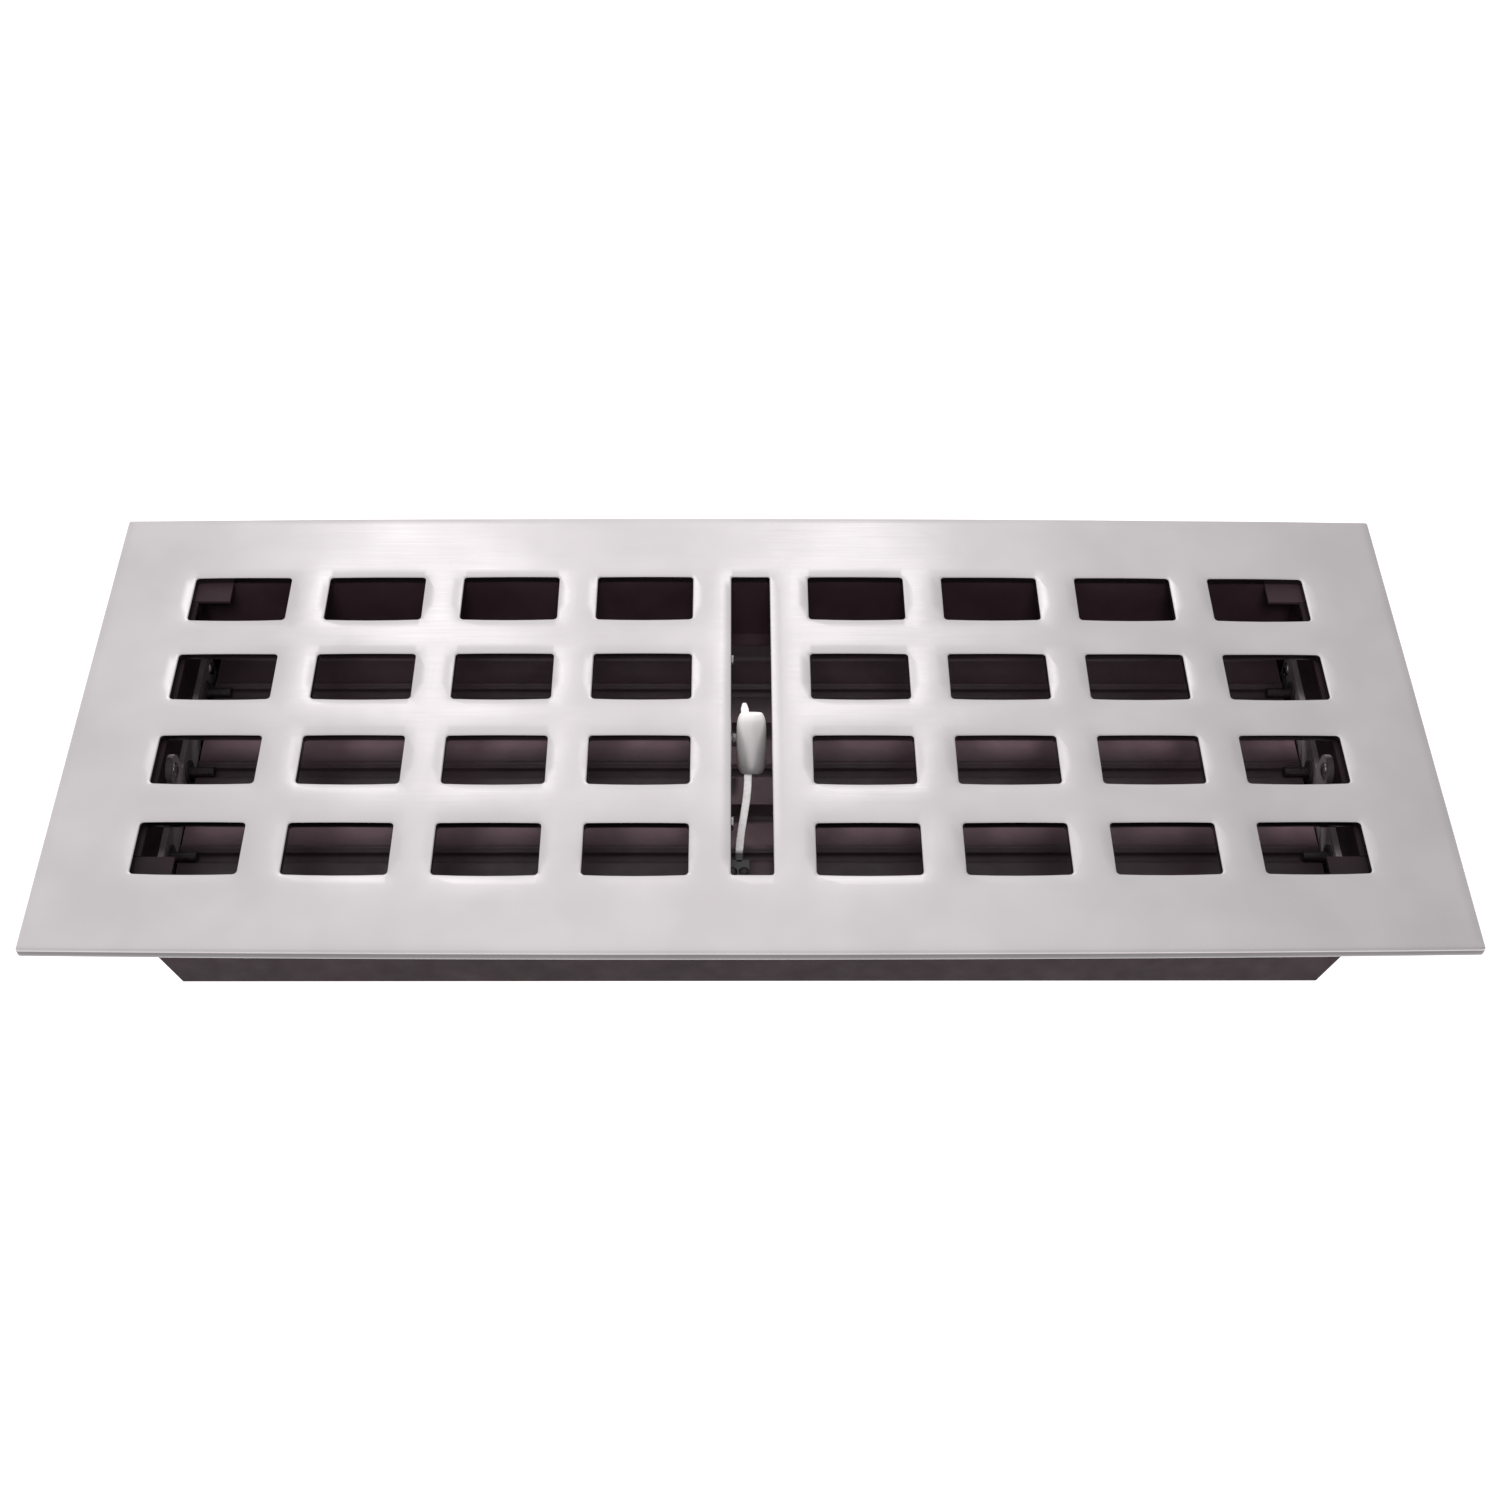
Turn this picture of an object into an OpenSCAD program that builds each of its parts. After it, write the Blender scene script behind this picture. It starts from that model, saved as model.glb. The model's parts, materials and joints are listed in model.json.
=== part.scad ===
// Floor register for a 4 x 12 in. duct: a cast faceplate over a sheet-steel damper box.
// Three blades in the box turn together on one link and are set by a lever in the faceplate's slot.
// Millimetres. X runs along the faceplate, Y from front to rear, Z up.
// The origin is below the faceplate's centre, on the plane of the box's lower edge.

/* [Faceplate] */
// Length of the faceplate
plate_w = 343; // [340:1:350]
// Width of the faceplate
plate_d = 140; // [136:1:146]
// Thickness of the faceplate at its rim
rim_t = 3.4; // [3:0.1:4]
// Depth of the shallow hollow under the faceplate, inside the rim
hollow_h = 0.6; // [0.4:0.1:1]
// Width of the flat rim that rests on the floor
rim_w = 8; // [6:0.5:10]
// Radius of the faceplate's corners in plan
plate_r = 1; // [0.5:0.1:3]
// Width of the bevel round the faceplate's top edge
edge_bevel = 0.8; // [0.4:0.1:1.5]

/* [Air holes] */
// Columns of air holes on each side of the lever slot
hole_cols = 4; // [3:1:4]
// Length of an air hole along X
hole_w = 25.5; // [22:0.5:28]
// Width of an air hole along Y
hole_d = 15; // [12:0.5:17]
// Distance between the centres of neighbouring columns
hole_pitch_x = 36; // [34:0.5:36]
// Distance between the centres of neighbouring rows
hole_pitch_y = 27; // [26:0.5:27]
// Distance from the faceplate's centre to the first column's near edge
first_hole_x = 15.5; // [14:0.5:16]
// Radius of the corners of the air holes and the lever slot
hole_r = 0.8; // [0.5:0.1:3]
// Width of the lever slot
slot_w = 10.2; // [9.5:0.1:12]

/* [Damper box] */
// Height of the whole register, from the box's lower edge to the faceplate's top
overall_h = 49; // [48:0.5:56]
// Outer length of the box
box_w = 302; // [300:0.5:303]
// Outer width of the box
box_d = 98; // [97:0.5:100]
// Thickness of the box's sheet steel
sheet_t = 0.8; // [0.6:0.1:1]
// Height of the taper that leads the box's ends into the duct
lead_h = 14; // [8:1:16]
// How far the lower edge of each end leans in
lead_in = 4; // [2:0.5:6]
// Width of the flange along the top of each end wall
end_flange_w = 3; // [2:0.5:4]
// Length along X of the ears at the box's top corners
ear_w = 10.5; // [8:0.5:12]
// Length along Y of the ears at the box's top corners
ear_d = 7; // [5:0.5:8]

/* [Blades] */
// Height of the blades' axes above the box's lower edge
axis_z = 24; // [23:0.5:25]
// Distance between neighbouring blades' axes
blade_pitch = 27; // [26.5:0.5:28]
// Distance from the faceplate's centre line to the middle blade's axis
middle_axis_y = 0.5; // [-0.5:0.5:1]
// Length of a blade
blade_w = 293; // [290:0.5:294]
// Thickness of the blades' sheet steel
blade_t = 0.8; // [0.6:0.1:1]
// Length of a pivot pin
pin_l = 9; // [8:0.5:14]
// Diameter of the pivot pins
pin_d = 3; // [2.6:0.1:3.2]
// Radial clearance of a turning pin
running_fit = 0.05; // [0.03:0.01:0.08]

/* [Lever] */
// Angle between the lever and its blade
lever_lean = 43; // [38:1:48]
// Length of the lever from its bend to the top of the knob
lever_len = 37; // [34:0.5:38]
// Width of the lever's strip
lever_w = 2.6; // [2.2:0.1:3.4]
// Thickness of the lever's strip
lever_t = 1.2; // [1:0.1:1.5]
// Length of the knob
knob_len = 15.6; // [14:0.1:18]
// Largest diameter of the knob
knob_d = 7.6; // [7:0.1:8]

/* [Hidden] */

$fn = 48;
eps = 0.01;
// Overrun of a cut past the part
over = 1;

// Faceplate
plate_base = overall_h - rim_t;
plate_under = plate_base + hollow_h;
hole_rows = 4;
slot_d = (hole_rows - 1) * hole_pitch_y + hole_d;
screw_x = 144.5;
screw_y = hole_pitch_y;
screw_r = 1.5;
screw_depth = 2;
screw_spare = 0.2;
screw_fit = 0.02;
screw_gap = 0.1;
screw_head_r = 2.8;
screw_head_h = 1.6;
recess_w = 3.6;
recess_t = 0.8;

// Box
half_w = box_w / 2;
half_d = box_d / 2;
wall_top = plate_under;
inner_x = half_w - sheet_t;
inner_y = half_d - sheet_t;
corner_flange = 7.5;
flange_fit = 0.02;
flange_gap = 1;
ear_gap = 0.2;
corner_rivet_zs = [20, 40];
rivet_r = 1.5;
rivet_head_r = 2.6;
rivet_head_h = 0.7;
rivet_tail_less = 0.3;
tab_l = 11;
tab_w = 10;

// Pivots
axis_ys = [middle_axis_y - blade_pitch, middle_axis_y, middle_axis_y + blade_pitch];
pin_r = pin_d / 2;
rail_t = 1.5;
rail_h = 10;
rail_l = 78;
rail_ear_w = 8;
rail_ear_y = -6;
rail_rivet_y = 36;
rail_ear_rise = 10;
rail_rivet_z = axis_z + rail_ear_rise;
bush_r = 2.4;
bush_flange_r = 3.3;
bush_flange_t = 0.6;
bush_seat_r = bush_r + eps;
pin_end_gap = 0.2;
pin_end_x = half_w - pin_end_gap;

// Blade section, measured from the axis; the axis lies on the sheet's upper face
blade_front = blade_pitch / 2;
bend_y = 12.1;
lip_rise = [2.4, 3.2];
lip_offset = [0.8 * blade_t, -0.6 * blade_t];
lip_heel = bend_y + 0.5 * blade_t;
bead_r = 1.25;
bead_drop = 0.75;
bead_y = 2.8;

// Link
link_pin_y = 5;
link_pin_z = 8;
link_pin_r = 1.25;
link_bar_x = -8.2;
link_bar_t = 1;
link_bar_h = 5;
open_pivot_gap = 0.2;
open_pivot_r = link_pin_r + open_pivot_gap;
crank_x = -6;
crank_t = 0.8;
crank_r = 2.6;
crank_base = 5;
notch_x = -10.2;
notch_y = 4;
clip_r = 2.5;
clip_t = 0.5;
clip_gap = 0.1;
pin_head_r = 2;
pin_head_t = 0.6;
pin_tail = 0.5;
spring_len = 1.8;
spring_wire = 0.4;
spring_r = 2.15;
spring_turns = 3;
spring_pitch = (spring_len - 2 * spring_wire) / (spring_turns - 1);

// Lever
lever_x = -1.6;
lever_foot_l = 9;
lever_foot_w = 6;
lever_foot_x = -3.4;
lever_foot_gap = 0.1;
lever_bend_y = 0.4;
lever_tip = 2.5;
lever_rivet_y = -5.2;
lever_rivet_dx = 1.55;
lever_rivet_r = 1.2;
lever_rivet_head_r = 1.5;
lever_rivet_head_h = 0.6;
knob_x = 0;
knob_end_r = 0.8 * knob_d / 2;
knob_shoulder = 2.2;

// Stop strips
stop_t = 0.8;
stop_leg = 8;
stop_gap = 0.3;
stop_l = 280;
stop_rivet_xs = [-110, 0, 110];
stop_lap = 1.5;
lip_gap = 1.9;
front_stop_y = axis_ys[0] - blade_front + stop_lap;
rear_stop_y = axis_ys[2] + bend_y + lip_gap;
rear_stop_rise = 0.9;
rear_stop_z = axis_z + rear_stop_rise;

// Rectangle with rounded corners, centred
module rounded_rect(w, d, r) {
    square([w - 2 * r, d], center = true);
    square([w, d - 2 * r], center = true);
    for (sx = [-1, 1], sy = [-1, 1])
        translate([sx * (w / 2 - r), sy * (d / 2 - r)]) circle(r = r);
}

// Cylinder along X from x0 to x1 at y, z
module rod_x(x0, x1, y, z, r) {
    translate([x0, y, z]) rotate([0, 90, 0]) cylinder(h = x1 - x0, r = r);
}

// Outline in Y and Z carried along X from x0 to x1
module along_x(x0, x1) {
    translate([x0, 0, 0]) rotate([90, 0, 90]) linear_extrude(x1 - x0) children();
}

// Rivet whose shank runs inwards from a head, along +X
module rivet_x(x, y, z, grip) {
    rod_x(x - rivet_head_h, x, y, z, rivet_head_r);
    rod_x(x - eps, x + grip + eps, y, z, rivet_r);
    rod_x(x + grip, x + grip + rivet_head_h, y, z, rivet_head_r - rivet_tail_less);
}

// Centres of the air holes
module at_air_holes() {
    for (side = [-1, 1], col = [0 : hole_cols - 1], row = [0 : hole_rows - 1])
        translate([side * (first_hole_x + hole_w / 2 + col * hole_pitch_x),
                   (row - (hole_rows - 1) / 2) * hole_pitch_y])
            children();
}

// Places of the four mounting screws
module at_screws() {
    for (sx = [-1, 1], sy = [-1, 1]) translate([sx * screw_x, sy * screw_y, 0]) children();
}

// Three-sided prism that bevels one top edge of the faceplate
module edge_cut(len, reach) {
    translate([0, reach, overall_h]) rotate([90, 0, 90])
        linear_extrude(len, center = true)
            polygon([
                [-edge_bevel, eps], [eps, -edge_bevel],
                [over, -edge_bevel], [over, over], [-edge_bevel, over]
            ]);
}

// Cast plate with its air holes, lever slot and four blind holes for the screws
module faceplate() {
    color("silver")
    difference() {
        translate([0, 0, plate_base]) linear_extrude(rim_t) rounded_rect(plate_w, plate_d, plate_r);
        translate([0, 0, plate_base - over]) linear_extrude(hollow_h + over)
            rounded_rect(plate_w - 2 * rim_w, plate_d - 2 * rim_w, plate_r);
        for (turn = [0, 180]) {
            rotate(turn) edge_cut(plate_w + 2 * over, plate_d / 2);
            rotate(turn + 90) edge_cut(plate_d + 2 * over, plate_w / 2);
        }
        translate([0, 0, plate_base - over]) linear_extrude(rim_t + 2 * over) {
            at_air_holes() rounded_rect(hole_w, hole_d, hole_r);
            rounded_rect(slot_w, slot_d, hole_r);
        }
        at_screws() translate([0, 0, plate_under - over])
            cylinder(h = over + screw_depth + screw_spare, r = screw_r + screw_fit);
    }
}

// Outline of a long wall, with its lower corners drawn in for the duct
module wall_outline() {
    polygon([
        [-half_w + lead_in, 0], [half_w - lead_in, 0], [half_w, lead_h],
        [half_w, wall_top], [-half_w, wall_top], [-half_w, lead_h]
    ]);
}

// Long wall on the front side: sheet, end flanges behind the end walls, and top corner ears
module long_wall() {
    difference() {
        union() {
            translate([0, -inner_y, 0]) rotate([90, 0, 0]) linear_extrude(sheet_t) wall_outline();
            for (side = [-1, 1]) {
                translate([side * (inner_x - sheet_t / 2), -inner_y + corner_flange / 2 - eps,
                           (lead_h + wall_top) / 2])
                    cube([sheet_t - 2 * flange_fit, corner_flange, wall_top - lead_h - 2 * flange_gap],
                         center = true);
                translate([side * (inner_x - ear_w / 2 - eps), -inner_y + ear_d / 2 - eps,
                           wall_top - sheet_t / 2])
                    cube([ear_w, ear_d, sheet_t], center = true);
            }
        }
        corner_rivet_holes();
        for (x = stop_rivet_xs) translate([x, -half_d - over, axis_z - stop_leg / 2])
            rotate([-90, 0, 0]) cylinder(h = sheet_t + 2 * over, r = rivet_r);
    }
}

module corner_rivet_holes() {
    for (z = corner_rivet_zs, sy = [-1, 1])
        rod_x(-half_w - over, half_w + over, sy * (inner_y - corner_flange / 2), z, rivet_r);
}

module front_wall() {
    color("#2e2226") long_wall();
}

module rear_wall() {
    color("#2e2226") mirror([0, 1, 0]) long_wall();
}

// End wall on the right side, with its top flange and the two tabs that take the screws
module end_wall() {
    difference() {
        union() {
            translate([0, inner_y, 0]) rotate([90, 0, 0]) linear_extrude(2 * inner_y)
                polygon([
                    [half_w, wall_top], [half_w, lead_h], [half_w - lead_in, 0],
                    [inner_x - lead_in, 0], [inner_x, lead_h], [inner_x, wall_top]
                ]);
            translate([half_w - end_flange_w / 2, 0, wall_top - sheet_t / 2])
                cube([end_flange_w, 2 * (inner_y - ear_d - ear_gap), sheet_t], center = true);
            for (sy = [-1, 1])
                translate([half_w - tab_l / 2, sy * screw_y, wall_top - sheet_t / 2])
                    cube([tab_l, tab_w, sheet_t], center = true);
        }
        for (y = axis_ys) rod_x(inner_x - over, half_w + over, y, axis_z, bush_seat_r);
        at_screws() cylinder(h = overall_h, r = screw_r + screw_gap);
        corner_rivet_holes();
        rail_rivet_holes();
    }
}

module left_end_wall() {
    color("#2e2226") mirror([1, 0, 0]) end_wall();
}

module right_end_wall() {
    color("#2e2226") end_wall();
}

// Rivets that join the end walls to the long walls' flanges
module corner_rivets() {
    color("#4a4044")
    for (side = [0, 1], z = corner_rivet_zs, sy = [-1, 1])
        mirror([side, 0, 0])
            rivet_x(-half_w, sy * (inner_y - corner_flange / 2), z, 2 * sheet_t);
}

// Pan-head screws driven up through the tabs into the faceplate
module mounting_screws() {
    color("gainsboro")
    at_screws() translate([0, 0, wall_top - sheet_t]) {
        cylinder(h = sheet_t + screw_depth, r = screw_r);
        difference() {
            translate([0, 0, -screw_head_h]) cylinder(h = screw_head_h, r = screw_head_r);
            for (turn = [0, 90]) rotate(turn)
                translate([0, 0, -screw_head_h]) cube([recess_w, recess_t, screw_head_h], center = true);
        }
    }
}

module rail_rivet_holes() {
    rod_x(inner_x - rail_t - over, half_w + over, rail_ear_y, rail_rivet_z, rivet_r);
    for (sy = [-1, 1])
        rod_x(inner_x - rail_t - over, half_w + over, sy * rail_rivet_y, axis_z, rivet_r);
}

// Steel strip inside an end wall that carries the blades' bushes, with one ear riveted higher up
module pivot_rail() {
    difference() {
        union() {
            translate([inner_x - rail_t, -rail_l / 2, axis_z - rail_h / 2])
                cube([rail_t - eps, rail_l, rail_h]);
            translate([inner_x - rail_t, rail_ear_y - rail_ear_w / 2, axis_z])
                cube([rail_t - eps, rail_ear_w, rail_rivet_z - axis_z]);
            rod_x(inner_x - rail_t, inner_x - eps, rail_ear_y, rail_rivet_z, rail_ear_w / 2);
        }
        for (y = axis_ys) rod_x(inner_x - rail_t - over, half_w, y, axis_z, bush_seat_r);
        rail_rivet_holes();
    }
}

module left_pivot_rail() {
    color("#7e7478") mirror([1, 0, 0]) pivot_rail();
}

module right_pivot_rail() {
    color("#7e7478") pivot_rail();
}

// Rivets that hold the rails to the end walls
module rail_rivets() {
    color("lightgray")
    for (side = [0, 1]) mirror([side, 0, 0]) {
        rivet_x(-half_w, rail_ear_y, rail_rivet_z, sheet_t + rail_t);
        for (sy = [-1, 1]) rivet_x(-half_w, sy * rail_rivet_y, axis_z, sheet_t + rail_t);
    }
}

// Flanged bushes for the pivot pins, pressed through rail and end wall
module pivot_bushes() {
    color("#3a3336")
    for (side = [0, 1], y = axis_ys) mirror([side, 0, 0])
        difference() {
            union() {
                rod_x(inner_x - rail_t, half_w, y, axis_z, bush_r);
                rod_x(inner_x - rail_t - bush_flange_t, inner_x - rail_t, y, axis_z, bush_flange_r);
            }
            rod_x(inner_x - rail_t - 2 * over, half_w + over, y, axis_z, pin_r + running_fit);
        }
}

// Angle strips riveted to the long walls, which close the gaps beside the outer blades
module front_stop_strip() {
    color("#2e2226")
    difference() {
        along_x(-stop_l / 2, stop_l / 2) polygon([
            [-inner_y + eps, axis_z + stop_gap + stop_t - stop_leg],
            [-inner_y + stop_t, axis_z + stop_gap + stop_t - stop_leg],
            [-inner_y + stop_t, axis_z + stop_gap], [front_stop_y, axis_z + stop_gap],
            [front_stop_y, axis_z + stop_gap + stop_t], [-inner_y + eps, axis_z + stop_gap + stop_t]
        ]);
        stop_rivet_holes(-1);
    }
}

module rear_stop_strip() {
    color("#2e2226")
    difference() {
        along_x(-stop_l / 2, stop_l / 2) polygon([
            [inner_y - eps, rear_stop_z - stop_leg], [inner_y - stop_t, rear_stop_z - stop_leg],
            [inner_y - stop_t, rear_stop_z - stop_t], [rear_stop_y, rear_stop_z - stop_t],
            [rear_stop_y, rear_stop_z], [inner_y - eps, rear_stop_z]
        ]);
        stop_rivet_holes(1);
    }
}

module stop_rivet_holes(side) {
    for (x = stop_rivet_xs) translate([x, side * half_d, axis_z - stop_leg / 2])
        rotate([90, 0, 0]) cylinder(h = 2 * (sheet_t + stop_t + over), r = rivet_r, center = true);
}

// Rivets that hold the stop strips
module stop_rivets() {
    color("#4a4044")
    for (turn = [0, 180], x = stop_rivet_xs) rotate(turn)
        translate([x, -half_d, axis_z - stop_leg / 2]) rotate([0, 0, 90])
            rivet_x(0, 0, 0, sheet_t + stop_t);
}

// Section of a blade: flat sheet, half-round channel for the pins, stiffening bead and raised lip
module blade_section() {
    channel_r = pin_r + blade_t;
    difference() {
        union() {
            polygon([
                [-blade_front, 0], [bend_y, 0], [bend_y + lip_rise[0], lip_rise[1]],
                [bend_y + lip_rise[0] + lip_offset[0], lip_rise[1] + lip_offset[1]],
                [lip_heel, -blade_t], [-blade_front, -blade_t]
            ]);
            intersection() {
                circle(r = channel_r);
                translate([-channel_r, -channel_r]) square([2 * channel_r, channel_r]);
            }
            intersection() {
                translate([bead_y, -bead_drop]) circle(r = bead_r);
                translate([bead_y - bead_r, -blade_t / 2]) square([2 * bead_r, 2 * bead_r]);
            }
        }
        circle(r = pin_r);
    }
}

// Crank tab bent up from the blade beside its notch
module crank_tab() {
    along_x(crank_x, crank_x + crank_t) difference() {
        union() {
            polygon([
                [notch_y, -blade_t / 2], [notch_y + crank_base, -blade_t / 2],
                [link_pin_y + crank_r, link_pin_z], [link_pin_y - crank_r, link_pin_z]
            ]);
            translate([link_pin_y, link_pin_z]) circle(r = crank_r);
        }
        translate([link_pin_y, link_pin_z]) circle(r = link_pin_r);
    }
}

// One blade at its axis, with the notch that lets the link bar pass when the blade is open
module blade(i) {
    translate([0, axis_ys[i], axis_z]) {
        difference() {
            along_x(-blade_w / 2, blade_w / 2) blade_section();
            translate([notch_x, notch_y, -2 * blade_t])
                cube([crank_x - notch_x, blade_pitch, 2 * blade_t + link_pin_z]);
            if (i == 0) lever_rivet_holes();
        }
        crank_tab();
    }
}

// Pivot pins welded into the channel at both ends of a blade
module pivot_pins(i) {
    color("#585356")
    for (side = [0, 1]) mirror([side, 0, 0])
        rod_x(pin_end_x - pin_l, pin_end_x, axis_ys[i], axis_z, pin_r - eps);
}

// Link pin riveted through a blade's crank tab; stand is the room under its head
module link_pin(i, stand) {
    y = axis_ys[i] + link_pin_y;
    z = axis_z + link_pin_z;
    head_x = crank_x + crank_t + stand;
    color("gainsboro") {
        rod_x(link_bar_x - clip_gap - clip_t - pin_tail, head_x + eps, y, z, link_pin_r - eps);
        rod_x(head_x, head_x + pin_head_t, y, z, pin_head_r);
    }
}

// Push-on washer that keeps the link bar on its pin
module link_clip(i) {
    x = link_bar_x - clip_gap;
    color("dimgray") difference() {
        rod_x(x - clip_t, x, axis_ys[i] + link_pin_y, axis_z + link_pin_z, clip_r);
        rod_x(x - 2 * clip_t, x + clip_t, axis_ys[i] + link_pin_y, axis_z + link_pin_z, link_pin_r);
    }
}

module front_blade() {
    color("#4b3c41") blade(0);
}

module middle_blade() {
    color("#4b3c41") blade(1);
}

module rear_blade() {
    color("#4b3c41") blade(2);
}

module front_pivot_pins() {
    pivot_pins(0);
}

module middle_pivot_pins() {
    pivot_pins(1);
}

module rear_pivot_pins() {
    pivot_pins(2);
}

module front_link_pin() {
    link_pin(0, 0);
}

module middle_link_pin() {
    link_pin(1, spring_len);
}

module rear_link_pin() {
    link_pin(2, 0);
}

module front_link_clip() {
    link_clip(0);
}

module middle_link_clip() {
    link_clip(1);
}

module rear_link_clip() {
    link_clip(2);
}

// Friction spring under the middle pin's head, one ring for each closed turn
module link_spring() {
    color("whitesmoke")
    translate([crank_x + crank_t, axis_ys[1] + link_pin_y, axis_z + link_pin_z])
        rotate([0, 90, 0])
            for (turn = [0 : spring_turns - 1])
                translate([0, 0, spring_wire + turn * spring_pitch])
                    rotate_extrude() translate([spring_r - spring_wire, 0]) circle(r = spring_wire, $fn = 24);
}

// Strip that ties the three cranks together; the middle and rear holes are the wider ones
module link_bar() {
    y0 = axis_ys[0] + link_pin_y;
    z = axis_z + link_pin_z;
    color("#7e7478")
    difference() {
        union() {
            translate([link_bar_x, y0, z - link_bar_h / 2]) cube([link_bar_t, 2 * blade_pitch, link_bar_h]);
            for (i = [0, 2])
                rod_x(link_bar_x, link_bar_x + link_bar_t, y0 + i * blade_pitch, z, link_bar_h / 2);
        }
        rod_x(link_bar_x - over, link_bar_x + link_bar_t + over, y0, z, link_pin_r + running_fit);
        for (i = [1, 2])
            rod_x(link_bar_x - over, link_bar_x + link_bar_t + over, y0 + i * blade_pitch, z,
                  open_pivot_r);
    }
}

// Lever: a foot riveted to the front blade and a strip bent up from it
module lever_strip() {
    reach = lever_len + lever_tip;
    top_bend = lever_bend_y - lever_t * tan(lever_lean / 2);
    run = [cos(lever_lean), sin(lever_lean)];
    up = [-run[1], run[0]];
    tip = [lever_bend_y, 0] + reach * run;
    color("#c8c4c4")
    translate([0, axis_ys[0], axis_z]) difference() {
        union() {
            along_x(lever_x - lever_w / 2, lever_x + lever_w / 2) polygon([
                [-lever_foot_l / 2, 0], [lever_bend_y, 0], tip, tip + lever_t * up,
                [top_bend, lever_t], [-lever_foot_l / 2, lever_t]
            ]);
            translate([lever_foot_x - lever_foot_w / 2, -lever_foot_l, 0])
                cube([lever_foot_w, lever_foot_l - pin_r - lever_foot_gap, lever_t]);
        }
        lever_rivet_holes();
    }
}

module lever_rivet_holes() {
    for (side = [-1, 1])
        translate([lever_foot_x + side * lever_rivet_dx, lever_rivet_y, -blade_t - over])
            cylinder(h = blade_t + lever_t + 2 * over, r = lever_rivet_r);
}

// Two small rivets through the lever's foot and the blade
module lever_rivets() {
    color("#585356")
    translate([0, axis_ys[0], axis_z])
        for (side = [-1, 1]) translate([lever_foot_x + side * lever_rivet_dx, lever_rivet_y, 0]) {
            translate([0, 0, -blade_t]) cylinder(h = blade_t + lever_t, r = lever_rivet_r);
            translate([0, 0, lever_t]) cylinder(h = lever_rivet_head_h, r = lever_rivet_head_r);
            translate([0, 0, -blade_t - lever_rivet_head_h])
                cylinder(h = lever_rivet_head_h, r = lever_rivet_head_r);
        }
}

// Barrel-shaped knob cast round the lever's upper end
module lever_knob() {
    color("silver")
    translate([0, axis_ys[0] + lever_bend_y, axis_z]) rotate([lever_lean - 90, 0, 0])
        translate([0, 0, lever_len - knob_len])
            difference() {
                translate([knob_x, -lever_t / 2, 0]) {
                    cylinder(h = knob_shoulder, r1 = knob_end_r, r2 = knob_d / 2);
                    translate([0, 0, knob_shoulder])
                        cylinder(h = knob_len - 2 * knob_shoulder, r = knob_d / 2);
                    translate([0, 0, knob_len - knob_shoulder])
                        cylinder(h = knob_shoulder, r1 = knob_d / 2, r2 = knob_end_r);
                }
                translate([lever_x, -lever_t / 2, knob_len / 2])
                    cube([lever_w, lever_t, knob_len + 2 * over], center = true);
            }
}

faceplate();
front_wall();
rear_wall();
left_end_wall();
right_end_wall();
corner_rivets();
mounting_screws();
left_pivot_rail();
right_pivot_rail();
rail_rivets();
pivot_bushes();
front_stop_strip();
rear_stop_strip();
stop_rivets();
front_blade();
front_pivot_pins();
front_link_pin();
front_link_clip();
lever_strip();
lever_rivets();
lever_knob();
middle_blade();
middle_pivot_pins();
middle_link_pin();
middle_link_clip();
link_spring();
rear_blade();
rear_pivot_pins();
rear_link_pin();
rear_link_clip();
link_bar();
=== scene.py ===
# Floor register: cast satin-nickel faceplate over a painted damper box with three linked blades.
# Metres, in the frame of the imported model: X along the faceplate, Y to the rear, Z up.
import json
import math

import bmesh
import bpy
from mathutils import Matrix, Vector, noise

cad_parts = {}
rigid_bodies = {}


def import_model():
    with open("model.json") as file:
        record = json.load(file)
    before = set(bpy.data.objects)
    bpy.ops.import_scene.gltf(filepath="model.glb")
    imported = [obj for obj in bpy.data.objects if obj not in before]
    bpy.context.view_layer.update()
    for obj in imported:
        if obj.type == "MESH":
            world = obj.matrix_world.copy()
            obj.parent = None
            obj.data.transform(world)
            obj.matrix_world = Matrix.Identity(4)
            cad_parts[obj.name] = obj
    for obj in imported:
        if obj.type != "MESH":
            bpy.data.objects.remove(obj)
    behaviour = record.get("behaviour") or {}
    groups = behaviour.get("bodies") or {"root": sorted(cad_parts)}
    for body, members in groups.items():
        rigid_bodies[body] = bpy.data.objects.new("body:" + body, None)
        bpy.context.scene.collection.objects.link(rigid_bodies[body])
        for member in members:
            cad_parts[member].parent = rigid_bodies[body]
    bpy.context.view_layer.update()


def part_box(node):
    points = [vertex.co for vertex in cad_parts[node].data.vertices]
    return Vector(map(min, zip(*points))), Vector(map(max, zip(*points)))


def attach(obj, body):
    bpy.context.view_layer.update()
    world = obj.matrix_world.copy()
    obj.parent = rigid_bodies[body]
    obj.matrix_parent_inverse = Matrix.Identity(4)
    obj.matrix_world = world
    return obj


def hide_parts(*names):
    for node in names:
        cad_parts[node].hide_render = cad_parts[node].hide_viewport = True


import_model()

MM = 0.001

# Faceplate
plate_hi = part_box("faceplate")[1]
HALF_W = plate_hi[0]
HALF_D = plate_hi[1]
TOP = plate_hi[2]
RIM_T = 3.4 * MM
HOLLOW = 0.6 * MM
RIM_W = 8 * MM
HOLE_W = 25.5 * MM
HOLE_D = 15 * MM
PITCH_X = 36 * MM
PITCH_Y = 27 * MM
FIRST_X = 15.5 * MM
SLOT_HALF_W = 5.1 * MM
SLOT_HALF_D = 48 * MM
SLOT_CORNER = 0.6 * MM
HOLE_CORNER = 0.9 * MM
PLATE_CORNER = 0.8 * MM
HOLE_ROLL = 1.2 * MM
RIM_ROLL = 0.8 * MM
UNDER_ROLL = 0.5 * MM
HOLLOW_ROLL = 0.4 * MM
PILLOW_W = 3.2 * MM
PILLOW_DROP_MM = 0.2
EDGE_BOW = 1.1 * MM
GRID_X = 6.4 * MM
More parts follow.
